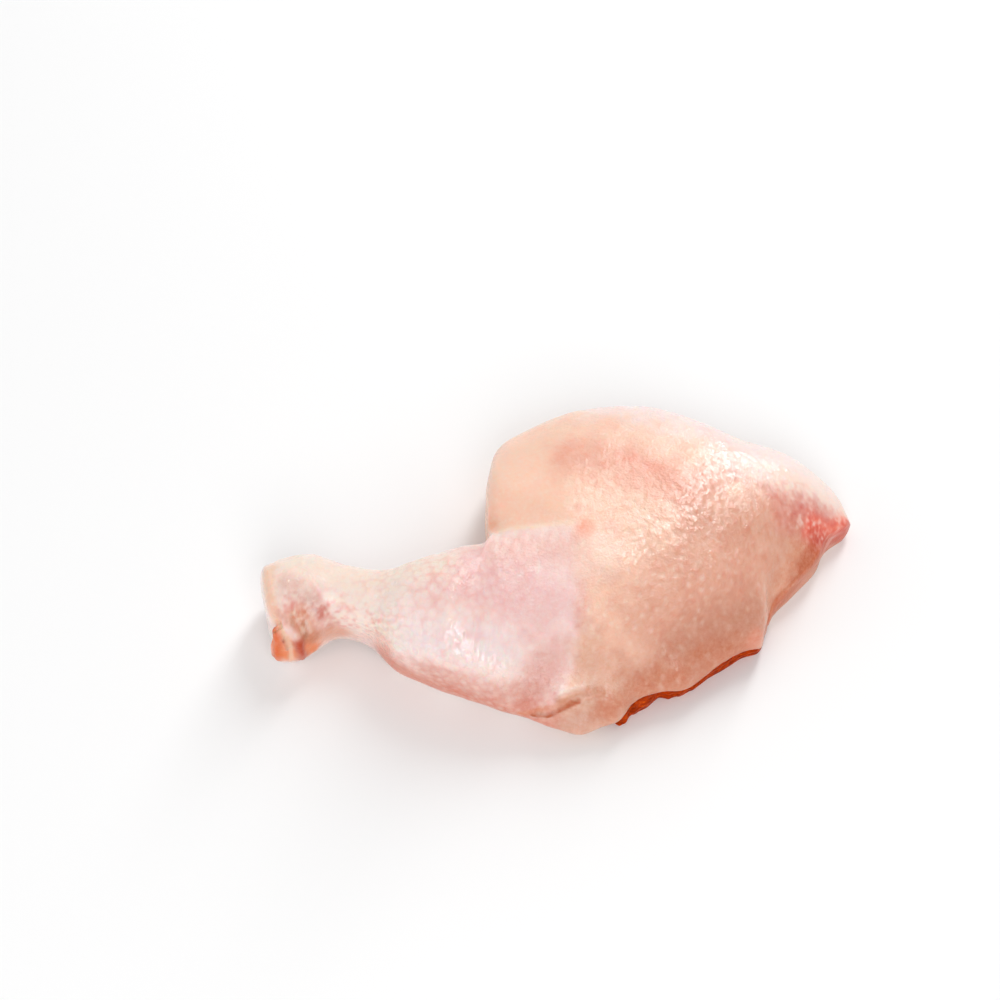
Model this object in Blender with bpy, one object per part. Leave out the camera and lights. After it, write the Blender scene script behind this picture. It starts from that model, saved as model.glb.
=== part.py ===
"""Raw chicken leg quarter, lying skin side up with the hock at -X and the hip at +X.

Two solids: the skin-covered leg, which is the whole drumstick and the thigh's skin drawn over it, and the bare
thigh meat that fills the thigh's underside and shows below the skin's edge at the front right.
Both are lofts between unlike upright sections that fan round the knee from the hock to the hip.
"""

from collections import namedtuple

import bmesh
import bpy
import numpy as np

OBJECT_NAME = "raw_chicken_leg_quarter"
MM = 0.001

# Driving dimensions, in millimetres.
SKIN_THICKNESS = 2.5
# The space between the skin and the meat: over the thigh, more of it where the skin thickens to the solid leg, and
# below the skin's front edge.
MEAT_GAP = 0.5
RAMP_GAP = 5.0
EDGE_GAP = 1.0
# Superellipse powers of the upper front, the upper back and the two lower quarters, which sag this far below zero
# and are cut off flat there.
FRONT_POWER = 1.95
BACK_POWER = 2.1
LOW_POWER = 2.2
SAG = 3.0
# How far the rounded ends stand out, how full they are, and the share of a step by which their last ring stops short.
HOCK_CAP = 4.0
HIP_CAP = 1.0
CAP_POWER = 0.5
CAP_REST = 0.2

# The groove between the thigh's back lobe and the drumstick: its open end, its inner end, depth and half width.
CREASE_OPEN_END = (-27.0, 2.0)
CREASE_INNER_END = (7.0, -1.0)
CREASE_DEPTH = 9.5
CREASE_WIDTH = 8.5
CREASE_TAPER = 1.3
# Crease and folds fade out over this height above the back foot.
FOLD_FADE = 12.0
# Folds pressed into the skin: the points each runs through, its depth and half width.
KNEE_FOLD = ((-8.0, -63.0, 12.0), (-1.0, -61.5, 14.5), (6.0, -58.5, 18.0), (13.0, -55.0, 20.5))
KNEE_FOLD_DEPTH = 1.6
KNEE_FOLD_WIDTH = 2.6
HOCK_FOLDS = (
    ((-99.0, -26.0, 25.0), (-98.0, -33.0, 20.0), (-95.0, -39.0, 11.0)),
    ((-92.0, -30.0, 27.0), (-90.0, -34.5, 20.0), (-89.0, -37.0, 11.0)),
)
HOCK_FOLD_DEPTH = 2.2
HOCK_FOLD_WIDTH = 2.4
# Places where the outline is pushed sideways: the middle in plan, the push in plan and the radius.
SIDE_PUSHES = (
    ((79.0, -7.0), (-1.6, 1.2), 13.0),
    ((68.0, -29.0), (0.8, -1.4), 5.0),
    ((36.0, -50.0), (-0.3, 1.4), 5.0),
)

# How finely the lofts are faceted.
SKIN_RINGS = 80
CAP_RINGS = 4
LOW_STEPS = 4
TOP_STEPS = 14
INNER_LOW_STEPS = 2
INNER_TOP_STEPS = 6
MEAT_SIDE_STEPS = 4
OUTLINE_SAMPLES = 2001

# The meat reaches as far as the skin's underside is raised by at least this share of its full height.
MEAT_COVER = 0.3
# Where the meat shows it bulges this far out from under the skin, in a sine wave that starts at the first and runs
# over the second of these shares of half a wave; elsewhere its edge is this high.
MEAT_BULGE = 2.2
BULGE_START = 0.25
BULGE_RUN = 0.6
MEAT_EDGE = 0.8

# One upright section, in millimetres: where it meets the front and back outline in plan, the crown's height and its
# place across (0 front, 1 back), the heights of the widest points at front and back, the heights at which the
# skin's front and back feet end, and how far the underside is raised for the meat (0 solid, 1 skin only).
Section = namedtuple(
    "Section",
    "name front_x front_y back_x back_y crown crown_place front_edge back_edge front_foot back_foot cover",
)
SECTIONS = (
    Section("hock_end", -94, -38, -101, -6, 29, 0.50, 14, 15, 2, 2, 0),
    Section("hock", -92, -40, -94, -3, 30, 0.52, 15, 16, 0, 0, 0),
    Section("hock_neck", -85, -35, -85, -2, 30, 0.50, 15, 16, 3, 3, 0),
    Section("shank", -77, -29, -73, -8, 30, 0.50, 17, 17, 5, 5, 0),
    Section("low_calf", -66, -32, -59, -12, 33, 0.50, 17, 18, 3, 3, 0),
    Section("calf", -56, -44, -46, -8, 40, 0.50, 19, 18, 0, 0, 0),
    Section("full_calf", -43, -52, -33, -3, 44, 0.50, 20, 17, 0, 0, 0),
    Section("notch", -35, -55, -25, 3, 43, 0.47, 19, 12, 0, 0, 0),
    Section("lobe_corner", -28, -58, -24, 16, 41, 0.47, 18, 11, 0, 0, 0),
    Section("lobe_side", -19, -61, -24, 29, 38, 0.48, 15, 12, 0, 0, 0),
    Section("lobe_top", -10, -62, -22, 44, 37, 0.52, 11, 13, 0, 0, 0),
    Section("before_knee", -2, -64, -11, 53, 36, 0.56, 8, 13, 0, 0, 0),
    Section("knee", 7, -65, 3, 61, 36, 0.60, 7, 12, 0, 0, 0.1),
    Section("low_thigh", 18, -64, 21, 65, 35, 0.62, 9, 12, 4, 0, 0.9),
    Section("thigh", 29, -54.5, 38, 63, 34, 0.62, 12, 12, 9, 0, 1),
    Section("mid_thigh", 41, -51, 53, 57, 33, 0.62, 10, 11, 6, 0, 1),
    Section("high_thigh", 52, -44, 66, 50, 31, 0.62, 10, 11, 5, 0, 1),
    Section("rump", 62, -36, 76, 47, 29, 0.62, 11, 10, 7, 0, 1),
    Section("corner", 68, -31.5, 86, 42, 26, 0.62, 9, 10, 4, 0, 0.7),
    Section("hip", 70, -27, 94, 36, 22, 0.62, 7, 9, 1, 0, 0.1),
    Section("hip_side", 71, -25, 100, 30, 17, 0.60, 6, 7, 0, 0, 0),
    Section("hip_edge", 72.5, -22, 104, 20.5, 12, 0.60, 5, 5, 0, 0, 0),
)

# Colour, roughness and metallic value of each piece.
LOOKS = {
    "skin_covered_leg": ("pale_raw_chicken_skin", (0.85, 0.60, 0.48), 0.35, 0.0),
    "thigh_meat": ("raw_dark_meat", (0.42, 0.13, 0.09), 0.40, 0.0),
}


def clear_scene():
    """Remove every object of the open scene."""
    for old in list(bpy.data.objects):
        bpy.data.objects.remove(old, do_unlink=True)


def section_rows():
    """The sections' numbers as rows, without their names."""
    return np.array([section[1:] for section in SECTIONS], float)


def spline(rows, places):
    """Smooth values between the rows at fractional row numbers."""
    count = len(rows)
    first = np.clip(np.floor(places).astype(int), 0, count - 2)
    share = (places - first)[:, None]
    before = rows[np.maximum(first - 1, 0)]
    start = rows[first]
    end = rows[first + 1]
    after = rows[np.minimum(first + 2, count - 1)]
    start_slope = (end - before) / 2
    end_slope = (after - start) / 2
    square = share**2
    cube = share**3
    return (
        (2 * cube - 3 * square + 1) * start
        + (cube - 2 * square + share) * start_slope
        + (3 * square - 2 * cube) * end
        + (cube - square) * end_slope
    )


def even_places(count):
    """Fractional section numbers spaced evenly along whichever outline runs further."""
    rows = section_rows()
    fine = np.linspace(0, len(rows) - 1, OUTLINE_SAMPLES)
    steps = np.diff(spline(rows, fine), axis=0)
    run = np.maximum(np.hypot(steps[:, 0], steps[:, 1]), np.hypot(steps[:, 2], steps[:, 3]))
    travelled = np.concatenate([[0], np.cumsum(run)])
    return np.interp(np.linspace(0, travelled[-1], count), travelled, fine)


class Sections:
    """The sections at the given places, each value as a column."""

    def __init__(self, places):
        values = spline(section_rows(), places)
        for index, name in enumerate(Section._fields[1:]):
            setattr(self, name, values[:, index][:, None])
        self.front_foot = np.maximum(self.front_foot, 0)
        self.back_foot = np.maximum(self.back_foot, 0)
        self.cover = np.clip(self.cover, 0, 1)
        self.width = np.hypot(self.back_x - self.front_x, self.back_y - self.front_y)
        self.crown_across = self.crown_place * self.width

    def in_space(self, across, height):
        """World points from distances across each section and heights."""
        share = across / self.width
        x = self.front_x + (self.back_x - self.front_x) * share
        y = self.front_y + (self.back_y - self.front_y) * share
        return np.stack([x, y, height], axis=-1)


def foot_angle(edge, foot):
    """The turn from a section's widest point down to its foot."""
    return np.arcsin(np.clip((edge - foot) / (edge + SAG), 0, 1) ** (LOW_POWER / 2))


def arch(sections, inset, low_steps, top_steps):
    """The curve from the front foot over the crown to the back foot: four superellipse quarters, drawn in by inset."""
    centre = sections.crown_across
    front_half = centre - inset
    back_half = sections.width - centre - inset
    top_turn = np.linspace(0, np.pi / 2, top_steps + 1)[None, :]
    low_turn = np.linspace(0, 1, low_steps + 1)[None, :]

    def quarter(half, edge, rise, power, turn):
        return half * np.cos(turn) ** (2 / power), edge + rise * np.sin(turn) ** (2 / power)

    front_low = foot_angle(sections.front_edge, sections.front_foot) * low_turn[:, :0:-1]
    back_low = foot_angle(sections.back_edge, sections.back_foot) * low_turn[:, 1:]
    front_fall = -(sections.front_edge + SAG - inset)
    back_fall = -(sections.back_edge + SAG - inset)
    front_rise = sections.crown - sections.front_edge - inset
    back_rise = sections.crown - sections.back_edge - inset
    pieces = (
        (-1, quarter(front_half, sections.front_edge, front_fall, LOW_POWER, front_low)),
        (-1, quarter(front_half, sections.front_edge, front_rise, FRONT_POWER, top_turn)),
        (1, quarter(back_half, sections.back_edge, back_rise, BACK_POWER, top_turn[:, -2::-1])),
        (1, quarter(back_half, sections.back_edge, back_fall, LOW_POWER, back_low)),
    )
    across = np.concatenate([centre + side * half for side, (half, _) in pieces], axis=1)
    height = np.concatenate([level for _, (_, level) in pieces], axis=1)
    return across, np.maximum(height, 0)


def underside(sections, outer_across, inset):
    """The skin's lower surface: flat between the feet where the leg is solid, an arch where it is skin only."""
    across, height = arch(sections, inset, INNER_LOW_STEPS, INNER_TOP_STEPS)
    share = np.linspace(0, 1, across.shape[1])[None, :]
    front = outer_across[:, :1] + inset / 2
    back = outer_across[:, -1:] - inset / 2
    flat_across = front + (back - front) * share
    flat_height = sections.front_foot + (sections.back_foot - sections.front_foot) * share
    height = np.maximum(height, flat_height)
    return (
        flat_across + (across - flat_across) * sections.cover,
        flat_height + (height - flat_height) * sections.cover,
    )


def grid_normals(points):
    """Outward unit normals of a grid of points, rings by points round each ring."""
    along = np.gradient(points, axis=0)
    round_ring = np.gradient(points, axis=1)
    normals = np.cross(round_ring, along)
    return normals / np.linalg.norm(normals, axis=-1, keepdims=True)


def distance_to_path(points, path):
    """The distance of each point from a path of straight runs."""
    path = np.array(path, float)
    nearest = np.full(points.shape[:-1], np.inf)
    for start, end in zip(path[:-1], path[1:]):
        run = end - start
        share = np.clip((points - start) @ run / (run @ run), 0, 1)
        offset = points - start - share[..., None] * run
        nearest = np.minimum(nearest, np.linalg.norm(offset, axis=-1))
    return nearest


def pressed_folds(points):
    """Move the points of the skin's outer surface in at the folds and down into the crease."""
    start = np.array(CREASE_OPEN_END)
    run = np.array(CREASE_INNER_END) - start
    plan = points[..., :2] - start
    share = np.clip(plan @ run / (run @ run), 0, 1)
    beside = np.linalg.norm(plan - share[..., None] * run, axis=-1)
    drop = CREASE_DEPTH * (1 - share) ** CREASE_TAPER * np.exp(-((beside / CREASE_WIDTH) ** 2))
    above_foot = np.clip((points[..., 2] - points[:, -1:, 2]) / FOLD_FADE, 0, 1)
    depth = KNEE_FOLD_DEPTH * np.exp(-((distance_to_path(points, KNEE_FOLD) / KNEE_FOLD_WIDTH) ** 2))
    for fold in HOCK_FOLDS:
        depth += HOCK_FOLD_DEPTH * np.exp(-((distance_to_path(points, fold) / HOCK_FOLD_WIDTH) ** 2))
    moved = points - grid_normals(points) * (depth * above_foot)[..., None]
    moved[..., 2] -= drop * above_foot
    return moved


def pushed_sideways(points):
    """Move points in plan at the hollow beside the hip, the corner's knob and the notch in the thigh's edge."""
    moved = points.copy()
    for middle, push, radius in SIDE_PUSHES:
        away = np.linalg.norm(points[..., :2] - np.array(middle), axis=-1)
        moved[..., :2] += np.exp(-((away / radius) ** 2))[..., None] * np.array(push)
    return moved


def cap_rings(ring, before, length, count):
    """Rings that close a loft's end: each moved on past the end and drawn in to the ring's middle."""
    middle = ring.mean(axis=0)
    onward = middle - before.mean(axis=0)
    onward[2] = 0
    onward *= length / np.linalg.norm(onward)
    turns = np.pi / 2 * np.arange(1, count + 1) / (count + CAP_REST)
    return [middle + (ring - middle) * np.cos(turn) ** CAP_POWER + onward * np.sin(turn) for turn in turns]


def skin_rings():
    """Closed rings of the skin-covered leg: over the top from front to back and home along the underside."""
    sections = Sections(even_places(SKIN_RINGS))
    across, height = arch(sections, 0, LOW_STEPS, TOP_STEPS)
    outer = pressed_folds(sections.in_space(across, height))
    inner = sections.in_space(*underside(sections, across, SKIN_THICKNESS))
    rings = list(np.concatenate([outer, inner[:, ::-1]], axis=1))
    hock = cap_rings(rings[0], rings[1], HOCK_CAP, CAP_RINGS)
    tip = cap_rings(rings[-1], rings[-2], HIP_CAP, CAP_RINGS // 2)
    return pushed_sideways(np.array(hock[::-1] + rings + tip))


def meat_rings():
    """Closed rings of the thigh meat: up its side that shows, over the top under the skin, and down to a flat base."""
    places = even_places(SKIN_RINGS)
    sections = Sections(places[Sections(places).cover[:, 0] >= MEAT_COVER])
    outer_across, _ = arch(sections, 0, LOW_STEPS, TOP_STEPS)
    across, height = underside(sections, outer_across, SKIN_THICKNESS + MEAT_GAP)
    gap = MEAT_GAP + RAMP_GAP * (1 - sections.cover)
    height = np.maximum(height - gap, height / 2)
    across = np.clip(across, across[:, :1] + gap, across[:, -1:] - gap)
    foot = np.maximum(sections.front_foot - EDGE_GAP, MEAT_EDGE)
    share = np.linspace(0, 1, MEAT_SIDE_STEPS + 1)[None, :-1]
    shown = (foot - MEAT_EDGE) / foot.max()
    bulge = MEAT_BULGE * np.sin(np.pi * (BULGE_START + BULGE_RUN * share))
    side_across = across[:, :1] - shown * (SKIN_THICKNESS + bulge)
    side_height = foot * share
    height[:, :1] = np.maximum(height[:, :1], foot)
    across = np.concatenate([side_across, across], axis=1)
    height = np.concatenate([side_height, height], axis=1)
    height[:, -1] = 0
    return pushed_sideways(sections.in_space(across, height))


def loft(name, rings, collection):
    """A closed solid from closed rings of equal count, with each end fanned to its middle."""
    count, around, _ = rings.shape
    mesh = bpy.data.meshes.new(name)
    build = bmesh.new()
    grid = [[build.verts.new(point * MM) for point in ring] for ring in rings]
    for ring, onward in zip(grid[:-1], grid[1:]):
        for index in range(around):
            after = (index + 1) % around
            build.faces.new((ring[index], ring[after], onward[after], onward[index]))
    for ring in (grid[0], grid[-1]):
        middle = build.verts.new(np.mean([vertex.co for vertex in ring], axis=0))
        for index in range(around):
            build.faces.new((middle, ring[index], ring[(index + 1) % around]))
    bmesh.ops.triangulate(build, faces=build.faces, quad_method="SHORT_EDGE")
    bmesh.ops.recalc_face_normals(build, faces=build.faces)
    build.to_mesh(mesh)
    build.free()
    mesh.shade_smooth()
    piece = bpy.data.objects.new(name, mesh)
    collection.objects.link(piece)
    return piece


def give_look(piece):
    """One Principled BSDF material with the piece's colour, roughness and metallic value."""
    label, colour, roughness, metallic = LOOKS[piece.name]
    material = bpy.data.materials.new(label)
    material.use_nodes = True
    shader = material.node_tree.nodes["Principled BSDF"]
    shader.inputs["Base Color"].default_value = (*colour, 1)
    shader.inputs["Roughness"].default_value = roughness
    shader.inputs["Metallic"].default_value = metallic
    piece.data.materials.append(material)


def main():
    clear_scene()
    collection = bpy.data.collections.new(OBJECT_NAME)
    bpy.context.scene.collection.children.link(collection)
    skin = skin_rings()
    outline = skin[..., :2].reshape(-1, 2)
    middle = np.append((outline.min(axis=0) + outline.max(axis=0)) / 2, 0)
    for name, rings in (("skin_covered_leg", skin), ("thigh_meat", meat_rings())):
        give_look(loft(name, rings - middle, collection))


main()
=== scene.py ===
"""Raw chicken leg quarter: wet, bumpy skin over the whole leg, bare meat under the thigh, on a pale floor.

Lengths in the tables and functions below are millimetres, with X from the hock to the hip, Y from the knee
side to the thigh's back lobe and Z up. The meshes are shifted to the outline's middle and turned to metres
at the end.
"""

import math
from collections import namedtuple

import bpy
import numpy as np
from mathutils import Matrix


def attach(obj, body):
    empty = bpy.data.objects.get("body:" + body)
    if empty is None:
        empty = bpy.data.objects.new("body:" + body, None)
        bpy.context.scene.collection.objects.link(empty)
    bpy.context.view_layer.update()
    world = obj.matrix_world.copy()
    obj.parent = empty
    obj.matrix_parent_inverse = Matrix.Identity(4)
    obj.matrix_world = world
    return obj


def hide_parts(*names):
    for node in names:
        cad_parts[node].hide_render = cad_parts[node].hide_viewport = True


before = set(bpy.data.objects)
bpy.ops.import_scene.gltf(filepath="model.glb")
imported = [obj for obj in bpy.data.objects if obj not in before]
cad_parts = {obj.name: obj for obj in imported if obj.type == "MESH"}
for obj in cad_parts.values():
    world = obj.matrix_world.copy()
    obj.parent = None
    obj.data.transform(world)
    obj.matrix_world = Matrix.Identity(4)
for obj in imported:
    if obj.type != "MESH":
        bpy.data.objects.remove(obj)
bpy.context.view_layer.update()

bl_info = {
    "name": "Raw chicken leg quarter",
    "version": (1, 0, 0),
    "blender": (4, 5, 0),
    "location": "3D View > Sidebar > Leg quarter",
    "description": "Builds the skin, the bare meat and the studio of a raw chicken leg quarter",
    "category": "Object",
}

MM = 0.001
SKIN_NODE = "skin_covered_leg"
MEAT_NODE = "thigh_meat"

# The lofts' dimensions, as in the solids under them. The meat reaches as far as the cover is at least
# MEAT_COVER.
SKIN_THICKNESS = 2.5
MEAT_GAP = 0.5
RAMP_GAP = 5.0
EDGE_GAP = 1.0
FRONT_POWER = 1.95
BACK_POWER = 2.1
LOW_POWER = 2.2
SAG = 3.0
HOCK_CAP = 4.0
HIP_CAP = 1.0
CAP_POWER = 0.5
CAP_REST = 0.2
MEAT_COVER = 0.3
MEAT_EDGE = 0.8

# Only here: how far the meat that shows swells out, and how ragged the skin's front edge is. The raggedness
# starts where the foot is RAGGED_START high and is full RAGGED_RUN above that.
MEAT_SWELL = 0.9
FOOT_RAGGED = 1.1
RAGGED_START = 4.0
RAGGED_RUN = 3.0

# The groove between the thigh's back lobe and the drumstick, in plan: 2 mm further back than the solids' and
# sooner shallow. Groove and folds are full FOLD_FADE above the back foot, and the fine relief DETAIL_FADE
# above both feet.
CREASE_OPEN_END = (-27.0, 4.0)
CREASE_INNER_END = (7.0, 0.8)
CREASE_DEPTH = 9.5
CREASE_WIDTH = 8.5
CREASE_TAPER = 1.8
FOLD_FADE = 12.0
DETAIL_FADE = 3.0

# How finely the surfaces are drawn: rings along the leg, rings in each rounded end, points round each ring.
SKIN_RINGS = 392
CAP_RINGS = 9
OUTER_POINTS = 214
INNER_POINTS = 20
MEAT_POINTS = 120
MEAT_SIDE_POINTS = 40
CURVE_STEPS = 120
LOW_CURVE_STEPS = 30
OUTLINE_SAMPLES = 2001

# The leg's upright sections: both ends in plan, the crown's height and its place across, the heights of the
# widest points and of the feet, and how much of it is skin over meat. They are the solids' own, but the front
# feet from low_thigh to hip are 1 to 3 mm higher, so that a thin, uneven strip of meat shows.
Section = namedtuple(
    "Section",
    "name front_x front_y back_x back_y crown crown_place front_edge back_edge front_foot back_foot cover",
)
SECTIONS = [Section(*row) for row in (
    ("hock_end", -94, -38, -101, -6, 29, 0.50, 14, 15, 2, 2, 0),
    ("hock", -92, -40, -94, -3, 30, 0.52, 15, 16, 0, 0, 0),
    ("hock_neck", -85, -35, -85, -2, 30, 0.50, 15, 16, 3, 3, 0),
    ("shank", -77, -29, -73, -8, 30, 0.50, 17, 17, 5, 5, 0),
    ("low_calf", -66, -32, -59, -12, 33, 0.50, 17, 18, 3, 3, 0),
    ("calf", -56, -44, -46, -8, 40, 0.50, 19, 18, 0, 0, 0),
    ("full_calf", -43, -52, -33, -3, 44, 0.50, 20, 17, 0, 0, 0),
    ("notch", -35, -55, -25, 3, 43, 0.47, 19, 12, 0, 0, 0),
    ("lobe_corner", -28, -58, -24, 16, 41, 0.47, 18, 11, 0, 0, 0),
    ("lobe_side", -19, -61, -24, 29, 38, 0.48, 15, 12, 0, 0, 0),
    ("lobe_top", -10, -62, -22, 44, 37, 0.52, 11, 13, 0, 0, 0),
    ("before_knee", -2, -64, -11, 53, 36, 0.56, 8, 13, 0, 0, 0),
    ("knee", 7, -65, 3, 61, 36, 0.60, 7, 12, 0, 0, 0.1),
    ("low_thigh", 18, -64, 21, 65, 35, 0.62, 9, 12, 5, 0, 0.9),
    ("thigh", 29, -54.5, 38, 63, 34, 0.62, 12, 12, 10, 0, 1),
    ("mid_thigh", 41, -51, 53, 57, 33, 0.62, 10, 11, 7.5, 0, 1),
    ("high_thigh", 52, -44, 66, 50, 31, 0.62, 10, 11, 8, 0, 1),
    ("rump", 62, -36, 76, 47, 29, 0.62, 11, 10, 9.5, 0, 1),
    ("corner", 68, -31.5, 86, 42, 26, 0.62, 9, 10, 6.5, 0, 0.7),
    ("hip", 70, -27, 94, 36, 22, 0.62, 7, 9, 2, 0, 0.1),
    ("hip_side", 71, -25, 100, 30, 17, 0.60, 6, 7, 0, 0, 0),
    ("hip_edge", 72.5, -22, 104, 20.5, 12, 0.60, 5, 5, 0, 0, 0),
)]
SECTION_ROWS = np.array([section[1:] for section in SECTIONS], float)

# Where the outline is pushed sideways: the middle in plan, the push in plan and the radius. The solids have
# the first three.
SIDE_PUSHES = (
    ((79, -7), (-1.6, 1.2), 13),
    ((68, -29), (0.8, -1.4), 5),
    ((36, -50), (-0.3, 1.4), 5),
    ((-24, 22), (-1.9, 0), 13),
    ((-25, -3.5), (1.6, 0.4), 5),
    ((-22, -8), (0.4, 1), 5),
    ((-95, -38.5), (-3.6, 0.4), 3.4),
    ((-99.5, -33.5), (1.9, 0.4), 2.6),
    ((-92, -42), (0.3, 1.4), 5),
    ((99, 8), (-3.2, 1.6), 7),
    ((76, -16), (-1.6, 0.9), 6),
    ((6, -66), (0, -1.2), 5),
    ((15, -65.5), (0, 1.2), 5),
    ((25, -57.5), (-0.5, 1.8), 6),
    ((54, -43), (-0.6, 1.3), 10),
)

# How far the bare meat's foot lies behind the skin's front edge, at places along the thigh.
MEAT_PLACES = (14, 18, 23, 29, 33.4, 37, 41, 46, 52, 57, 62, 68, 72)
MEAT_RECESS = (4.5, 2.2, -0.4, 1.1, 3.2, 1.2, 2.4, 3.0, 3.2, 3.0, 3.8, 3.5, 3.5)

# Lines on the skin that folds, colours and films share: the dark fold above the knee and the lip over it, the
# tendons, crevices and hollow of the cut hock, and where the drumstick's skin meets the thigh's back lobe.
KNEE_FOLD = (
    (-9.8, -62, 12.6), (-7.2, -62.3, 12.9), (-4.5, -62.6, 13.2), (-1.8, -62, 14.5),
    (0.8, -61.3, 15.7), (3.1, -60.4, 16.8), (5.4, -59.9, 17.3),
)
FOLD_RIM = ((-14, -62, 12), (-7.3, -61.2, 15), (-2.2, -61, 15.9), (2.8, -60, 17.4))
LIP_SHADE = ((-1, -59.4, 17.8), (4, -58, 19), (9, -57, 19.6), (13, -56.3, 20))
HEEL_TENDON = (
    (-98.2, -30.7, 22.9), (-96, -33.3, 24), (-94.3, -36.1, 23),
    (-92.9, -37.4, 20.6), (-92, -38.2, 16), (-92, -38, 8),
)
HEEL_CREVICE = ((-93.8, -37.3, 20.9), (-93, -37.8, 19.5), (-92.8, -38.2, 16.5))
HEEL_HOLLOW = ((-96.6, -35, 22.6), (-95.9, -37.1, 20), (-96.5, -37.6, 16), (-97, -37, 9))
TOE_CREVICE = ((-89.9, -35.6, 22.6), (-89.3, -36.9, 19.3), (-89, -37.5, 16), (-88.4, -37, 8))
TOE_TENDON = ((-90.6, -30.7, 27.3), (-89.6, -32, 26.1), (-88.5, -33.7, 24), (-87.3, -34.9, 21.3))
STRAND = ((-86.2, -32.3, 24.3), (-85.3, -34.3, 20))
CUT_FLESH = ((-96, -36.5, 18), (-93, -38, 12), (-87, -36.5, 13), (-84, -35, 9))
SKIN_LIP = ((-0.5, -57.9, 19.3), (2.1, -57, 19.8), (4.9, -56.1, 20.4), (7.5, -55.7, 20.5))
CREASE_LINE = ((-20.6, -0.4, 30.4), (-16.2, -0.1, 32.1), (-10.3, 0, 33.4), (-3.5, 0.2, 34.3), (4.4, 0.6, 35))
THIGH_FRONT = ((18, -60, 13), (34, -52, 14), (48, -44, 13), (62, -36, 10))
CALF_EDGE = ((-60, -40, 12), (-44, -53, 12), (-20, -62, 12), (-4, -66, 8))
SHINING_BAND = (
    (59, 34, 28.5), (54, 24, 31.5), (50, 16, 32.8), (45.5, 8, 33.1), (40, 0, 32.9), (30, -6, 33.4),
)

# The seam between drumstick and thigh in plan: its x at places y up from the knee, then its y at places x
# along the crease. The two skins blend over SEAM_BLEND on each side of it, and it wanders by SEAM_WANDER.
SEAM_PLACES = (-66, -60, -57, -50, -42, 0)
SEAM_LINE = (-3, -1, 1.3, 4, 5.4, 4.8)
CREASE_PLACES = (-30, -25, -22, -16, -4, 5)
CREASE_SEAM = (20, 3, -1.5, -0.3, 0, 0.5)
SEAM_BLEND = 2.4
SEAM_WANDER = 1.2

# The drumstick's axis, its start at the hock and its radius at the calf. The thigh's wrinkles turn about
# CALF_MIDDLE, TURN_RADIUS away, and also run down from CROWN_HEIGHT. The hock is puckered up to HOCK_REACH
# along X from HOCK_PLACE.
AXIS_START = (-97.0, -22.0, 15.0)
AXIS = (0.985, -0.174)
CALF_RADIUS = 24
CALF_MIDDLE = (-24.0, -33.0)
TURN_RADIUS = 70
CROWN_HEIGHT = 36
HOCK_PLACE = -93
HOCK_REACH = 14

# Areas whose relief differs: the points each runs through and its radius.
LOBE = (((-14, 6, 32), (-12, 30, 32)), 15)
PINK_END = (((-2, -14, 34), (-1, -44, 27)), 11)
UPPER_DRUMSTICK = (((-52, -22, 40), (-24, -14, 40), (-6, -10, 36)), 15)
LOWER_DRUMSTICK = (((-58, -42, 26), (-34, -55, 24), (-12, -60, 20)), 12)
PLEATED_SIDE = (((-66, -33, 24), (-46, -44, 34), (-22, -47, 33)), 9)
PIMPLED_THIGH = (((14, -8, 34), (26, -36, 28), (44, -20, 30)), 26)
CRUMPLED_BAND = (((80, 30, 24), *SHINING_BAND), 10)

# Fine relief with no setting of its own: its height, or its size as the side of its pattern's cells.
PLEAT_HEIGHT = 0.27
PLEAT_SIZE = 1.0
CRUMPLE_HEIGHT = 0.1
CRUMPLE_SIZE = 1.1
WRINKLE_SIZES = (1.7, 1.1)
PUCKER_SIZE = 1.7
SWELLING_SIZES = (19.0, 8.0)
BUNDLE_SIZES = (1.6, 2.2)

# Patterns in the materials, in cells to a millimetre.
MOTTLES_PER_MM = 0.7
STREAKS_PER_MM = 0.55
PORES_PER_MM = 1.1
FIBRES_PER_MM = 0.9

# Folds and ridges of the skin: what it is, the points it runs through, its height (negative for a fold) and
# its half width.
Fold = namedtuple("Fold", "name path height width")
FOLDS = [Fold(*row) for row in (
    ("knee fold", KNEE_FOLD, -0.9, 0.7),
    ("skin over the knee fold", ((-9, -61.2, 15), (-2, -60.6, 16.8), (3.5, -59, 18.4)), 0.35, 1.4),
    ("knee fold's faint end", ((5.4, -59.9, 17.3), (9, -58.8, 18.2), (13, -57.8, 18.8)), -0.8, 0.9),
    ("skin lip over the knee fold", SKIN_LIP, 0.35, 0.7),
    ("groove under the skin lip", ((0, -58.9, 18.6), (5, -57.4, 19.6), (10, -56.6, 20)), -0.7, 0.9),
    ("knee cap", ((3, -64, 12), (11, -62, 14)), 1.2, 5.0),
    ("hollow under the heel", HEEL_HOLLOW, -1.6, 1.7),
    ("crevice by the heel tendon", HEEL_CREVICE, -1.5, 0.8),
    ("crevice by the toe tendon", TOE_CREVICE, -1.9, 1.3),
    ("heel tendon", HEEL_TENDON, 1.2, 0.9),
    ("toe tendon", TOE_TENDON, 0.9, 0.8),
    ("small tendon", ((-91.4, -32, 26.8), (-90.6, -34, 25)), 0.6, 0.6),
    ("strand right of the toe tendon", STRAND, 0.5, 0.7),
    ("crease lip", CREASE_LINE, 0.35, 0.8),
    ("knob at the thigh's corner", ((70.5, -27.5, 6),), 0.7, 3.0),
)]

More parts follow.
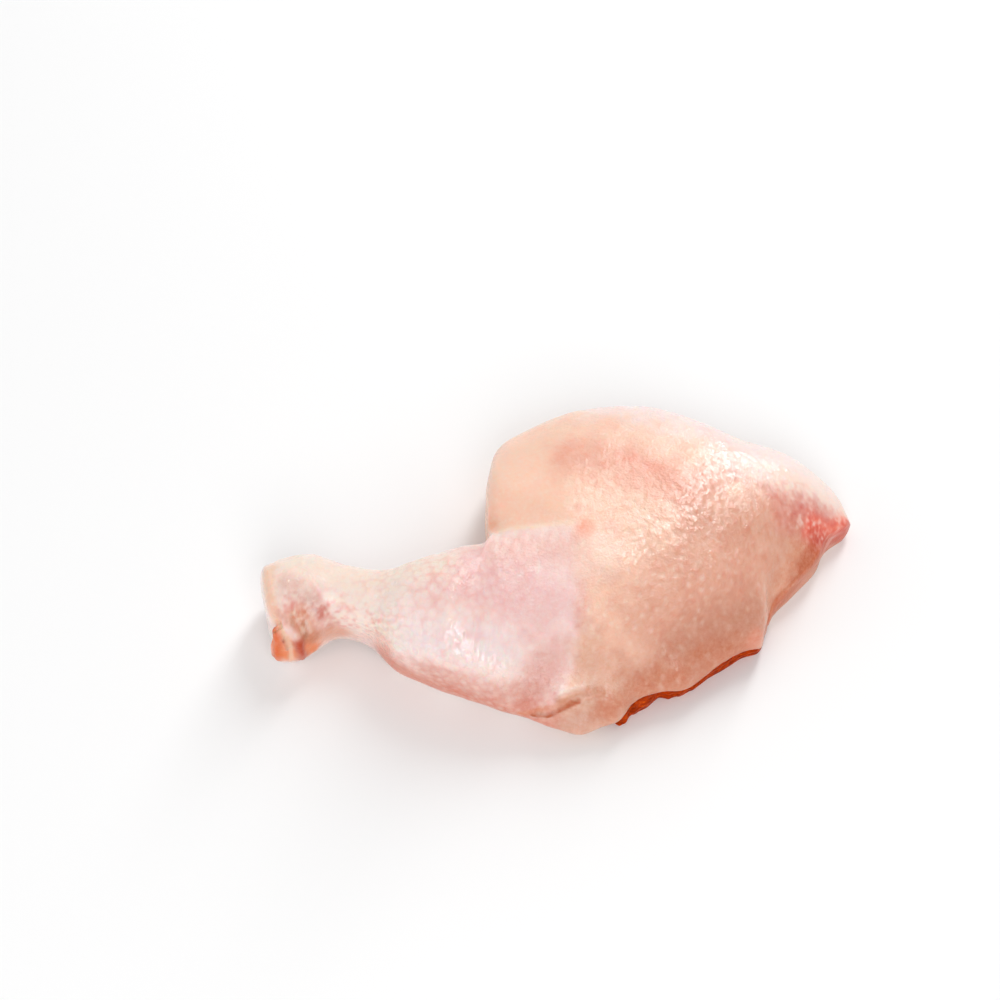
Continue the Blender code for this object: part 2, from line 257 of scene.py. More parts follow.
# Colour patches on the skin, each laid over those before it: what shows there, the points it runs through,
# its radius, its colour and how much of it. Several are painted shade, painted sheen or a painted highlight,
# laid into the colour where light and shade fall, as their names say.
Patch = namedtuple("Patch", "name path radius colour share")
PATCHES = [Patch(*row) for row in (
    ("pink skin in the shining band", ((62, 36, 27), (52, 22, 32), (46, 15, 33)), 8, "#e8ab98", 0.68),
    ("pink top of the drumstick", ((-24, -14, 39), (-8, -9, 34), (4, -12, 34)), 8, "#e8b8ac", 0.6),
    # Painted sheen: the drumstick's side that catches the front light is painted paler.
    ("painted sheen on the drumstick's shining side", ((-50, -43, 32), (-34, -47, 35), (-20, -46, 33)), 8, "#f0e0e2", 0.5),
    ("pink muscle through the calf", ((-30, -26, 42), (-6, -30, 34)), 15, "#e8bbb9", 0.72),
    ("pink at the knee", ((-5, -50, 25), (-9, -57, 21)), 8, "#d9978c", 0.62),
    ("pale shank", ((-96, -12, 28), (-60, -18, 33), (-43, -20, 40)), 9, "#ffe2d3", 0.85),
    ("pale front of the shank", ((-74, -28, 20), (-58, -36, 24)), 8, "#ffe6da", 0.8),
    ("peach edge of the hock", ((-101, -12, 27), (-99.5, -23, 27.5), (-97, -31, 24)), 3.2, "#f4c3a2", 0.75),
    ("cartilage", ((-92, -22, 30), (-86, -25, 29)), 5.0, "#e2c4b8", 0.8),
    ("pink-brown skin below the cartilage", ((-94.5, -29.5, 26), (-88, -30, 27)), 3.5, "#dfa48e", 0.6),
    ("bruise by the cartilage", ((-84, -27, 27), (-81, -29, 24)), 3.0, "#cf8a7c", 0.6),
    ("reddish shank", ((-88, -32, 25), (-84, -34, 18), (-76, -30, 12)), 4.5, "#dd9472", 0.75),
    ("pale skin behind the hock", ((-77, -27, 22), (-71, -28, 18)), 3.5, "#f9e0d8", 0.7),
    ("red mottling behind the hock", ((-81, -29, 25), (-78, -29.5, 19)), 3.0, "#d98f7c", 0.6),
    ("cut flesh at the hock", CUT_FLESH, 4.4, "#ee7c24", 0.94),
    ("hollow under the heel", HEEL_HOLLOW, 2.3, "#e06410", 0.95),
    ("flesh between the tendons", ((-91, -33, 25.5), (-87, -35, 20), (-84, -34.5, 17)), 3.0, "#cb7a50", 0.7),
    # Partly painted shade: the flesh in the crevice by the heel tendon is painted darker, as shade.
    ("dark crevice by the heel tendon", HEEL_CREVICE, 0.9, "#963008", 0.95),
    ("flesh by toe tendon", ((-89.3, -36.9, 18.8), (-89, -37.5, 15), (-88.4, -37, 8)), 1.9, "#c04408", 0.95),
    # Painted shade: the hollow right of the tendon is painted brown, as shade.
    ("painted shade in the hollow right of the tendon", ((-87.8, -33.3, 23.5), (-86.9, -35.3, 19.5)), 1.1, "#b0683a", 0.6),
    ("pale strand right of the toe tendon", STRAND, 0.8, "#f2cfbd", 0.7),
    ("pale heel tendon", HEEL_TENDON, 0.9, "#ffd0b0", 0.92),
    ("pale toe tendon", TOE_TENDON, 0.8, "#f8cdb6", 0.8),
    # Painted shade: the drumstick's underside, turned away from the light, is painted warmer and darker.
    ("painted shade on the lower drumstick", ((-42, -50, 22), (-26, -56, 21), (-10, -58, 20)), 6, "#dea090", 0.72),
    # Painted shade: the lobe's edge, turned away from the light, is painted darker orange.
    ("painted shade on the lobe's edge", ((-24.5, 3, 24), (-25, 20, 20), (-23, 36, 18)), 5, "#f2ac8a", 0.7),
    # Painted shade: the calf's lower edge, facing down, is painted darker orange.
    ("painted shade on the calf's lower edge", CALF_EDGE, 7.8, "#d8846c", 0.92),
    ("knee skin", ((4, -65, 10), (14, -62, 13)), 6, "#d8a894", 0.8),
    ("tan skin right of the knee", ((9, -47, 27), (12, -57.5, 20), (24, -52, 20)), 7.5, "#d49e86", 0.55),
    # Painted shade: the drumstick's end over the knee fold is painted orange-brown, as shade.
    ("painted shade over the knee fold", FOLD_RIM, 1.3, "#dc8a62", 0.65),
    # Painted shade: the band under the skin lip is painted brown, as shade.
    ("painted shade under the skin lip", LIP_SHADE, 1.8, "#cf8a68", 0.55),
    # Painted shade: the knee fold is painted as a dark line.
    ("painted shade deep in the knee fold", KNEE_FOLD, 0.85, "#b8541a", 0.95),
    ("glint on the skin lip", SKIN_LIP, 0.8, "#ffe6da", 0.55),
    # Partly painted highlight: the crease's lip is painted pale, both as fat and as the light that catches
    # it.
    ("yellow fat and painted highlight along the crease", CREASE_LINE, 1.2, "#fde4cc", 0.55),
    ("pin-feather mark", ((8.6, -1.3, 35.3),), 3.3, "#ee9c80", 0.75),
    ("second pin-feather mark", ((6.7, 6.5, 35.8),), 1.9, "#eab19a", 0.7),
    ("pale patch by the seam", ((10, -15, 35), (14, -8, 34.5)), 7, "#fbe3d4", 0.5),
    ("pink band on the thigh", ((5, 30, 34.5), (21, 27, 34.5), (38, 20, 33.8)), 9, "#e8a892", 0.75),
    ("red graze", ((22, 30.5, 34), (27, 28, 34), (33, 25, 34)), 2.6, "#ec9c86", 0.45),
    # Painted sheen: the thigh's back, lit at a grazing angle, is painted near white.
    ("painted sheen on the back of the thigh", ((26, 64, 20), (56, 52, 20), (80, 34, 19), (90, 28, 17)), 17, "#f3e2df", 0.85),
    # Painted shade: the outer thigh, turned away from the light, is painted darker.
    ("painted shade on the outer thigh", ((62, -14, 27), (50, -24, 27), (40, -34, 25)), 24, "#da9c84", 0.72),
    ("tan skin right of the shining band", ((52, 2, 31), (68, 6, 28), (78, 2, 22)), 11, "#d6987e", 0.75),
    # Partly painted shade: the lean that shows through is painted darker still, as shade on this side.
    ("lean showing and painted shade on the thigh", ((64, -27, 18), (52, -36, 18), (42, -43, 20)), 11, "#ca8c72", 0.74),
    ("shaded front of the thigh", THIGH_FRONT, 8, "#d07c56", 0.76),
    # Painted shade: the right side, turned away from the light, is painted darker.
    ("painted shade on the right side", ((84, 0, 15), (78, -8, 13), (75, -15, 11)), 9, "#dc8f68", 0.62),
    # Painted shade: the low rim at the right is painted dark orange.
    ("painted shade on the low rim at the right", ((80, -8, 6), (74, -18, 6), (71, -27, 6)), 5, "#cc5c1c", 0.88),
    ("pale knob at the thigh's corner", ((66.5, -32, 14), (70.5, -28.5, 8)), 3.8, "#e89a80", 0.7),
    ("warm skin behind the tip", ((80, 26, 24), (92, 23, 15)), 6, "#fbdfcd", 0.55),
    ("pink round the blood", ((80, 12, 25), (92, 14, 17)), 9, "#d67c6c", 0.7),
    ("blood at the tip", ((88, 10.5, 18.5), (94, 12.5, 12.7), (101, 17, 9.5)), 4.6, "#f26a4e", 0.78),
    # Partly painted shade: the raw edge below the tip is painted darker red, as shade on the face turned
    # under.
    ("raw edge and painted shade below the tip", ((103, 18, 3), (99, 13, 5), (93, 9, 10), (90, 7, 13)), 4.2, "#cc4424", 0.88),
    # Painted shade: the edge right of the thigh is painted brown, as shade.
    ("painted shade on the right edge of the thigh", ((88, 2, 11), (85, -1, 11), (82, -6, 7)), 5, "#c4643a", 0.78),
)]

# Where the skin is speckled pale and red: the points it runs through, its radius and how strongly.
MOTTLED = (
    (((-90, -28, 27), (-84, -28, 25), (-72, -29, 21), (-62, -34, 24)), 6.2, 1.9),
    (((84, 12, 23), (93, 12, 13), (100, 16, 10)), 6, 1.6),
    (((80, 22, 25), (91, 21, 16)), 6, 0.9),
)

# How wet the skin is: where, the points it runs through, its radius and its share of a full film of water.
# Elsewhere it is DAMP_SHARE.
Film = namedtuple("Film", "name path radius share")
DAMP_SHARE = 0.45
FILMS = [Film(*row) for row in (
    ("damp middle of the thigh", ((8, 30, 34), (24, 22, 34), (40, 32, 33)), 15, 0.22),
    ("dry drumstick top", ((-41, -19, 41.4), (-24, -13, 38), (-10, -7, 33.6), (4, -10, 34.6)), 10, 0.08),
    ("wet band over the thigh", SHINING_BAND, 8.5, 1.0),
    ("damp skin right of the shining band", ((78, 32, 24), (72, 24, 27)), 9, 0.25),
    ("dry raw edge and painted shade below the tip", ((103, 18, 3), (92, 6, 9), (86, -2, 8)), 6, 0.0),
    ("dry lower edge of the calf", CALF_EDGE, 6, 0.15),
    ("wet side of the drumstick", ((-63, -35, 20), (-47, -44, 34), (-34, -47.6, 35), (-18, -46, 32)), 9, 1.0),
    ("wet hock", ((-90, -26, 26), (-84, -29, 24), (-70, -28, 20)), 6, 0.9),
    ("damp knee fold", KNEE_FOLD, 3, 0.1),
    ("damp cut flesh at the hock", ((-96, -37, 16), (-88, -37, 14)), 5, 0.3),
)]

# The soft lights, in metres and watts: each looks at the leg's middle.
Light = namedtuple("Light", "name place width height power")
LIGHTS = (
    Light("back_light", (0.41, 0.92, 0.79), 0.28, 1.25, 9.0),
    Light("front_light", (0.10, -0.95, 0.76), 0.60, 0.75, 5.3),
    Light("left_light", (-1.15, -0.30, 0.55), 0.80, 0.80, 2.4),
)
AIR_STRENGTH = 0.52
FLOOR_HALF = 3.0
CAMERA_TARGET = (-20.8, 34.88, 0)
SENSOR_WIDTH = 36


def linear(colour):
    """Linear red, green and blue of an sRGB hex colour."""
    shares = np.array([int(colour[place : place + 2], 16) for place in (1, 3, 5)]) / 255
    return tuple(np.where(shares <= 0.04045, shares / 12.92, ((shares + 0.055) / 1.055) ** 2.4).tolist())


def eased(values, low, high):
    """0 below low, 1 above high, and 3 t^2 - 2 t^3 between."""
    share = np.clip((values - low) / (high - low), 0, 1)
    return share * share * (3 - 2 * share)


def spline(rows, places):
    """Values between rows at fractional row numbers: cubics whose slope at a row is half its neighbours'
    difference."""
    count = len(rows)
    first = np.clip(np.floor(places).astype(int), 0, count - 2)
    share = (places - first)[:, None]
    before = rows[np.maximum(first - 1, 0)]
    start = rows[first]
    end = rows[first + 1]
    after = rows[np.minimum(first + 2, count - 1)]
    square = share**2
    cube = share**3
    return (
        (2 * cube - 3 * square + 1) * start
        + (cube - 2 * square + share) * (end - before) / 2
        + (3 * square - 2 * cube) * end
        + (cube - square) * (after - start) / 2
    )


def even_places(count):
    """Fractional section numbers spaced evenly along whichever outline, front or back, runs further."""
    fine = np.linspace(0, len(SECTIONS) - 1, OUTLINE_SAMPLES)
    steps = np.diff(spline(SECTION_ROWS, fine), axis=0)
    run = np.maximum(np.hypot(steps[:, 0], steps[:, 1]), np.hypot(steps[:, 2], steps[:, 3]))
    travelled = np.concatenate([[0], np.cumsum(run)])
    return np.interp(np.linspace(0, travelled[-1], count), travelled, fine)


class Sections:
    """The sections at the given places, each value as a column, with the front feet made ragged by noise."""

    def __init__(self, places):
        values = spline(SECTION_ROWS, places)
        for index, name in enumerate(Section._fields[1:]):
            setattr(self, name, values[:, index][:, None])
        edge = np.hstack([self.front_x, self.front_y, np.zeros_like(self.front_x)])
        ragged = FOOT_RAGGED * (noise(edge, 6.0, 13) + 0.7 * noise(edge, 2.4, 14))[:, None]
        ragged *= np.clip((self.front_foot - RAGGED_START) / RAGGED_RUN, 0, 1)
        self.front_foot = np.maximum(self.front_foot + ragged, 0)
        self.back_foot = np.maximum(self.back_foot, 0)
        self.cover = np.clip(self.cover, 0, 1)
        self.width = np.hypot(self.back_x - self.front_x, self.back_y - self.front_y)
        self.crown_across = self.crown_place * self.width

    def in_space(self, across, height):
        """Points from distances across each section, from its front end to its back, and heights."""
        share = across / self.width
        x = self.front_x + (self.back_x - self.front_x) * share
        y = self.front_y + (self.back_y - self.front_y) * share
        return np.stack([x, y, height], axis=-1)


def foot_angle(edge, foot):
    """The turn from a section's widest point down to its foot, on the lower superellipse quarter."""
    return np.arcsin(np.clip((edge - foot) / (edge + SAG), 0, 1) ** (LOW_POWER / 2))


def arch(sections, inset):
    """The curve from the front foot over the crown to the back foot.

    Four superellipse quarters: half width times cos(t)^(2/p) across, rise times sin(t)^(2/p) up, drawn in
    by inset.
    """
    centre = sections.crown_across
    front_half = centre - inset
    back_half = sections.width - centre - inset
    top_turn = np.linspace(0, np.pi / 2, CURVE_STEPS + 1)[None, :]
    low_turn = np.linspace(0, 1, LOW_CURVE_STEPS + 1)[None, :]

    def quarter(half, edge, rise, power, turn):
        return half * np.cos(turn) ** (2 / power), edge + rise * np.sin(turn) ** (2 / power)

    front_low = foot_angle(sections.front_edge, sections.front_foot) * low_turn[:, :0:-1]
    back_low = foot_angle(sections.back_edge, sections.back_foot) * low_turn[:, 1:]
    front_fall = -(sections.front_edge + SAG - inset)
    back_fall = -(sections.back_edge + SAG - inset)
    front_rise = sections.crown - sections.front_edge - inset
    back_rise = sections.crown - sections.back_edge - inset
    pieces = (
        (-1, quarter(front_half, sections.front_edge, front_fall, LOW_POWER, front_low)),
        (-1, quarter(front_half, sections.front_edge, front_rise, FRONT_POWER, top_turn)),
        (1, quarter(back_half, sections.back_edge, back_rise, BACK_POWER, top_turn[:, -2::-1])),
        (1, quarter(back_half, sections.back_edge, back_fall, LOW_POWER, back_low)),
    )
    across = np.hstack([centre + side * half for side, (half, _) in pieces])
    height = np.hstack([level for _, (_, level) in pieces])
    return across, np.maximum(height, 0)


def evened(across, height, count):
    """The same curves with their points evenly spaced along each.

    Their lengths are laid end to end, so that one interpolation serves them all.
    """
    rings = len(across)
    run = np.hypot(np.diff(across, axis=1), np.diff(height, axis=1))
    travelled = np.hstack([np.zeros((rings, 1)), np.cumsum(run, axis=1)])
    order = 2 * np.arange(rings)[:, None]
    known = (order + travelled / travelled[:, -1:]).ravel()
    wanted = (order + np.linspace(0, 1, count)[None, :]).ravel()
    return [np.interp(wanted, known, curve.ravel()).reshape(rings, count) for curve in (across, height)]


def underside(sections, outer_across, inset, count):
    """The skin's lower surface: flat between the feet where the leg is solid, an arch over the meat."""
    across, height = evened(*arch(sections, inset), count)
    share = np.linspace(0, 1, count)[None, :]
    front = outer_across[:, :1] + inset / 2
    back = outer_across[:, -1:] - inset / 2
    flat_across = front + (back - front) * share
    flat_height = sections.front_foot + (sections.back_foot - sections.front_foot) * share
    height = np.maximum(height, flat_height)
    return (
        flat_across + (across - flat_across) * sections.cover,
        flat_height + (height - flat_height) * sections.cover,
    )


def grid_normals(points):
    """Outward unit normals of a grid of points, rings by points round each ring."""
    along = np.gradient(points, axis=0)
    round_ring = np.gradient(points, axis=1)
    normals = np.cross(round_ring, along)
    return normals / np.maximum(np.linalg.norm(normals, axis=-1, keepdims=True), 1e-9)


def distance_to_path(points, path):
    """The distance of each point from a path of straight runs, or from its one point."""
    path = np.array(path, float)
    nearest = np.linalg.norm(points - path[0], axis=-1)
    for start, end in zip(path[:-1], path[1:]):
        run = end - start
        share = np.clip((points - start) @ run / (run @ run), 0, 1)
        nearest = np.minimum(nearest, np.linalg.norm(points - start - share[..., None] * run, axis=-1))
    return nearest


def near(points, path, radius, power=2):
    """How near each point is to a path, from 1 on it to 0 far off: exp(-(distance / radius)^power)."""
    return np.exp(-((distance_to_path(points, path) / radius) ** power))


def noise(points, size, seed):
    """Smooth random values from -1 to 1: a table's values at the corners of cells of the given size, eased
    between by 6 t^5 - 15 t^4 + 10 t^3. The table repeats after 32 cells, and each pattern has a seed of
    its own."""
    table = np.random.default_rng(seed).uniform(-1, 1, (32, 32, 32))
    scaled = points / size
    cell = np.floor(scaled).astype(int)
    share = scaled - cell
    share = share**3 * (share * (share * 6 - 15) + 10)
    total = np.zeros(points.shape[:-1])
    for corner in np.ndindex(2, 2, 2):
        weight = np.prod(np.where(corner, share, 1 - share), axis=-1)
        index = (cell + corner) % 32
        total += weight * table[index[..., 0], index[..., 1], index[..., 2]]
    return total


def domes(along, across, spacing, reach, seed):
    """Round bumps in staggered rows, 0 to 1. Each point of the lattice is moved at random by up to 0.3 of
    a space and has a dome 0.5 to 1 high, which falls off as (1 - (distance / (reach * spacing))^2)^1.5,
    and the highest dome counts. The rows lie 0.87 of a space apart, the sine of 60 degrees."""
    table = np.random.default_rng(seed).uniform(-1, 1, (64, 64, 3))
    pitch = spacing * 0.87
    row_here = np.floor(across / pitch).astype(int)
    best = np.zeros(along.shape)
    for row_step in (-1, 0, 1):
        row = row_here + row_step
        stagger = 0.5 * (row % 2)
        column_here = np.floor(along / spacing - stagger).astype(int)
        for column_step in (-1, 0, 1):
            column = column_here + column_step
            chance = table[row % 64, column % 64]
            x = (column + stagger + 0.5 + 0.3 * chance[..., 0]) * spacing
            y = (row + 0.5 + 0.3 * chance[..., 1]) * pitch
            away = np.hypot(along - x, across - y) / (reach * spacing)
            best = np.maximum(best, (0.75 + 0.25 * chance[..., 2]) * np.maximum(1 - away**2, 0) ** 1.5)
    return best


def pushed_sideways(points):
    """The points moved in plan, each push falling off as exp(-(distance / radius)^2)."""
    moved = points.copy()
    for middle, push, radius in SIDE_PUSHES:
        away = np.linalg.norm(points[..., :2] - np.array(middle), axis=-1)
        moved[..., :2] += np.exp(-((away / radius) ** 2))[..., None] * np.array(push)
    return moved


def capped(rings, closed):
    """The rings with both ends rounded: copies of the end ring moved on by length times sin(t) and drawn in
    to the closed ring's middle by cos(t) to a power."""

    def cap(ring, whole, before, length, count):
        middle = whole.mean(axis=0)
        onward = middle - before.mean(axis=0)
        onward[2] = 0
        onward *= length / np.linalg.norm(onward)
        turn = (np.pi / 2 * np.arange(1, count + 1) / (count + CAP_REST))[:, None, None]
        return middle + (ring - middle)[None] * np.cos(turn) ** CAP_POWER + onward * np.sin(turn)

    hock = cap(rings[0], closed[0], closed[1], HOCK_CAP, CAP_RINGS)
    tip = cap(rings[-1], closed[-1], closed[-2], HIP_CAP, CAP_RINGS // 2)
    return np.concatenate([hock[::-1], rings, tip])


def skin_zones(points):
    """How far each point lies on the drumstick (1) or the thigh (0), divided by the seam, and how smooth
    the skin lies there (1 on the thigh's back lobe, 0.75 on the drumstick's pink end)."""
    x, y = points[..., 0], points[..., 1]
    seam = np.interp(y, SEAM_PLACES, SEAM_LINE) - x + SEAM_WANDER * noise(points, 4.0, 11)
    crease = np.interp(x, CREASE_PLACES, CREASE_SEAM) - y
    drumstick = eased(np.minimum(seam, crease), -SEAM_BLEND, SEAM_BLEND)
    smooth = near(points, *LOBE, power=4) * (1 - drumstick) + 0.75 * near(points, *PINK_END) * drumstick
    return drumstick, np.clip(smooth, 0, 1)


def drumstick_ways(points):
    """Coordinates that follow the drumstick: the distance along its axis and the turn about it, from its
    top, as a length at the calf."""
    from_hock = points - np.array(AXIS_START)
    along = from_hock[..., :2] @ np.array(AXIS)
    beside = from_hock[..., :2] @ np.array((-AXIS[1], AXIS[0]))
    return along, CALF_RADIUS * np.arctan2(beside, from_hock[..., 2])


def thigh_ways(points):
    """Coordinates that follow the thigh's wrinkles, which run in arcs round the calf: the distance from
    the calf in plan plus 0.8 of the drop from the crown, and the turn as a length at the thigh's middle."""
    from_calf = points[..., :2] - np.array(CALF_MIDDLE)
    radius = np.hypot(from_calf[..., 0], from_calf[..., 1]) + 0.8 * (CROWN_HEIGHT - points[..., 2])
    return radius, TURN_RADIUS * np.arctan2(from_calf[..., 1], from_calf[..., 0])


def lifted(points, foot, run):
    """How far each point lies above its ring's foot, a column of the grid: 0 at the foot's height, 1 from
    run up."""
    return np.clip((points[..., 2] - points[:, foot, 2, None]) / run, 0, 1)


def whole_rings(outer, inner):
    """Closed rings from the outer grid and the lower grid, which runs the other way home."""
    return np.hstack([outer, inner[:, ::-1]])


def smooth_skin():
    """The skin's outer and lower grids without relief: the loft with rounded ends, pushed sideways.

    The crease lowers it by depth * (1 - s)^taper * exp(-(d / width)^2), with s along the crease and d
    beside it.
    """
    sections = Sections(even_places(SKIN_RINGS))
    across, height = evened(*arch(sections, 0), OUTER_POINTS)
    outer = sections.in_space(across, height)
    inner = sections.in_space(*underside(sections, across, SKIN_THICKNESS, INNER_POINTS))
    start = np.array(CREASE_OPEN_END)
    run = np.array(CREASE_INNER_END) - start
    plan = outer[..., :2] - start
    share = np.clip(plan @ run / (run @ run), 0, 1)
    beside = np.linalg.norm(plan - share[..., None] * run, axis=-1)
    drop = CREASE_DEPTH * (1 - share) ** CREASE_TAPER * np.exp(-((beside / CREASE_WIDTH) ** 2))
    outer[..., 2] -= drop * lifted(outer, -1, FOLD_FADE)
    closed = whole_rings(outer, inner)
    return pushed_sideways(capped(outer, closed)), pushed_sideways(capped(inner, closed))


def skin_surface(settings):
    """The skin's outer grid, its lower grid and the values its colours and material need.

    The smooth skin is moved along its normals by the folds, height * exp(-(d / width)^2), and by the fine
    relief: each pattern, from about -1 to 1 or from 0 to 1, times its height and its share at each point.
    """
    laid, inner = smooth_skin()
    drumstick, smooth = skin_zones(laid)
    thigh = (1 - drumstick) * (1 - smooth)
    hock = np.exp(-(((laid[..., 0] - HOCK_PLACE) / HOCK_REACH) ** 4))

    # On the drumstick: feather bumps, thickest above and below, and pleats longer round it than along.
    along, turned = drumstick_ways(laid)
    feather = domes(along, turned, settings.bump_spacing / MM, 0.58, 21)
    upper = near(laid, *UPPER_DRUMSTICK)
    lower = near(laid, *LOWER_DRUMSTICK)
    patchy = 0.8 + 0.4 * noise(laid, 14.0, 12)
    feather_share = drumstick * (1 - hock) * (1 - smooth) * patchy
    feather_share *= np.clip(0.25 + upper + 0.75 * lower, 0, 1)
    pleats = noise(np.stack([along, 0.42 * turned, np.zeros_like(turned)], axis=-1), PLEAT_SIZE, 29)
    pleat_share = drumstick * near(laid, *PLEATED_SIDE)
    # At the cut hock: puckers drawn out along Y and Z.
    puckers = noise(laid * np.array((1, 0.6, 0.45)), PUCKER_SIZE, 25)

    # On the thigh: scattered pimples, wrinkles that fade towards the calf, the back lobe and the foot, and
    # crumples.
    pimples = domes(laid[..., 0], laid[..., 1], 1.35 * settings.bump_spacing / MM, 0.27, 22)
    pimple_share = thigh * near(laid, *PIMPLED_THIGH) * np.clip(0.6 + 0.7 * noise(laid, 6.0, 37), 0.15, 1)
    radius, turn = thigh_ways(laid)
    ways = np.stack([radius + 1.6 * noise(laid, 9.0, 28), turn / 1.2, np.zeros_like(turn)], axis=-1)
    wrinkles = 0.55 * noise(ways, WRINKLE_SIZES[0], 23) + 0.45 * noise(ways, WRINKLE_SIZES[1], 24)
    wrinkle_share = thigh * eased(radius, 38, 66) * (1 - 0.6 * eased(laid[..., 1], 18, 48))
    wrinkle_share *= eased(laid[..., 2], 16, 32)
    crumples = noise(laid, CRUMPLE_SIZE, 30)
    crumple_share = thigh * near(laid, *CRUMPLED_BAND)

    swellings = noise(laid, SWELLING_SIZES[0], 26) + 0.45 * noise(laid, SWELLING_SIZES[1], 27) * (1 - smooth)
    detail = settings.bump_height / MM * (feather_share * (feather - 0.5) + 0.7 * pimple_share * pimples)
    detail += settings.wrinkle_depth / MM * (wrinkle_share * wrinkles + hock * puckers)
    detail += PLEAT_HEIGHT * pleat_share * pleats + CRUMPLE_HEIGHT * crumple_share * crumples
    detail += settings.unevenness / MM * swellings
    depth = np.zeros(laid.shape[:-1])
    for fold in FOLDS:
        depth += fold.height * near(laid, fold.path, fold.width)
    inside_feet = lifted(laid, -1, DETAIL_FADE) * lifted(laid, 0, DETAIL_FADE)
    rise = depth * lifted(laid, -1, FOLD_FADE) + detail * inside_feet
    outer = laid + grid_normals(laid) * rise[..., None]
    outer[..., 2] = np.maximum(outer[..., 2], 0)

    wet = np.full(outer.shape[:-1], DAMP_SHARE)
    for film in FILMS:
        wet += near(outer, film.path, film.radius) * (film.share - wet)
    relief = feather_share * (feather - 0.35) + 0.8 * pimple_share * (pimples - 0.1)
    pores = (1 - 0.7 * smooth) * (1 + 1.6 * drumstick * (lower + 0.5 * upper))
    return outer, inner, {
        "laid": laid,
        "drumstick": drumstick,
        "smooth": smooth,
        "relief": relief + 0.3 * wrinkle_share * wrinkles,
        "ways": ways,
        "wrinkles": wrinkle_share,
        "wet": wet,
        "pores": pores * (1 - 0.85 * pleat_share) * (1 - 0.55 * crumple_share),
    }


def skin_tones(values, settings):
    """Each point's linear colour: the drumstick's pink and the thigh's peach, then each patch mixed in by
    share * exp(-(distance / radius)^3) with edges that wander by noise, and last paler tops and redder
    valleys."""
    points, drumstick = values["laid"], values["drumstick"][..., None]
    tones = np.array(settings.drumstick_tone) * drumstick + np.array(settings.thigh_tone) * (1 - drumstick)
    wander = 1 + 0.28 * noise(points, 6.0, 31) + 0.18 * noise(points, 2.5, 32)
    for patch in PATCHES:
        away = distance_to_path(points, patch.path) * wander / patch.radius
        share = patch.share * np.exp(-(away**3))[..., None]
        tones = tones + share * (np.array(linear(patch.colour)) - tones)
    blotch = 0.5 * noise(points, 9.0, 33) + 0.5 * noise(points, 3.2, 34)
    relief = values["relief"] + 0.22 * blotch * (1 - 0.6 * values["smooth"])
    for path, radius, amount in MOTTLED:
        speckles = 0.5 * noise(points, 2.0, 35) + 0.4 * noise(points, 1.1, 36)
        relief = relief + amount * near(points, path, radius) * speckles
    tops = np.clip(relief, 0, 1)[..., None]
    valleys = np.clip(-relief, 0, 1)[..., None]
    tones = tones + 0.6 * tops * (np.array(linear("#fdebdf")) - tones)
    return tones * (1 - valleys * np.array((0.10, 0.40, 0.42)))


def meat_surface(settings):
    """Closed rings of the thigh meat: up the side that shows, over the top and down to a flat base.

    The side that shows swells by a sine of its height, with ripples of noise for the muscle's bundles.
    """
    places = even_places(SKIN_RINGS)
    sections = Sections(places[Sections(places).cover[:, 0] >= MEAT_COVER])
    outer_across, _ = evened(*arch(sections, 0), OUTER_POINTS)
    across, height = underside(sections, outer_across, SKIN_THICKNESS + MEAT_GAP, MEAT_POINTS)
    gap = MEAT_GAP + RAMP_GAP * (1 - sections.cover)
    height = np.maximum(height - gap, height / 2)
    across = np.clip(across, across[:, :1] + gap, across[:, -1:] - gap)
    foot = np.maximum(sections.front_foot - EDGE_GAP, MEAT_EDGE)
    share = np.linspace(0, 1, MEAT_SIDE_POINTS + 1)[None, :-1]
    recess = np.interp(sections.front_x, MEAT_PLACES, MEAT_RECESS)
    side_across = outer_across[:, :1] + recess - MEAT_SWELL * np.sin(np.pi * share)
    side_height = foot * share
    height[:, :1] = np.maximum(height[:, :1], foot)
    side = sections.in_space(side_across, side_height)
    bundles = noise(side * np.array((0.3, 0.3, 1.0)), BUNDLE_SIZES[0], 41)
    bundles += 0.6 * noise(side, BUNDLE_SIZES[1], 42)
    ripple = settings.fibre_relief / MM * bundles * np.sin(np.pi * share)
    across = np.hstack([side_across + ripple, across])
    height = np.hstack([side_height, height])
    height[:, -1] = 0
    return pushed_sideways(sections.in_space(across, height))


def plan_middle(points):
    """The middle of the outline in plan, with no height."""
    outline = points[..., :2].reshape(-1, 2)
    return np.append((outline.min(axis=0) + outline.max(axis=0)) / 2, 0)


def closed_mesh(name, rings, values):
    """A closed mesh from rings of equal count: four-sided faces between neighbouring rings, each end
    fanned to its middle, and the named values kept as attributes of its points."""
    count, around = rings.shape[:2]
    grid = np.arange(count * around).reshape(count, around)
    after = np.roll(grid, -1, axis=1)
    quads = np.stack([grid[:-1], after[:-1], after[1:], grid[1:]], axis=-1).reshape(-1, 4)
    first = np.stack([np.full(around, count * around), after[0], grid[0]], axis=-1)
    last = np.stack([np.full(around, count * around + 1), grid[-1], after[-1]], axis=-1)

    def with_ends(field):
        middles = [end.mean(axis=1).reshape(1, -1) for end in (field[:1], field[-1:])]
        return np.concatenate([field.reshape(count * around, -1), *middles])

    mesh = bpy.data.meshes.new(name)
    mesh.from_pydata((with_ends(rings) * MM).tolist(), [], quads.tolist() + first.tolist() + last.tolist())
    for label, field in values.items():
        kept = with_ends(field)
        if label.endswith("tone"):
            attribute = mesh.color_attributes.new(label, "FLOAT_COLOR", "POINT")
            opaque = np.hstack([kept, np.ones((len(kept), 1))])
            attribute.data.foreach_set("color", opaque.ravel())
        else:
            attribute = mesh.attributes.new(label, "FLOAT_VECTOR", "POINT")
            attribute.data.foreach_set("vector", kept.ravel())
    mesh.shade_smooth()
    piece = bpy.data.objects.new(name, mesh)
    bpy.context.scene.collection.objects.link(piece)
    return piece


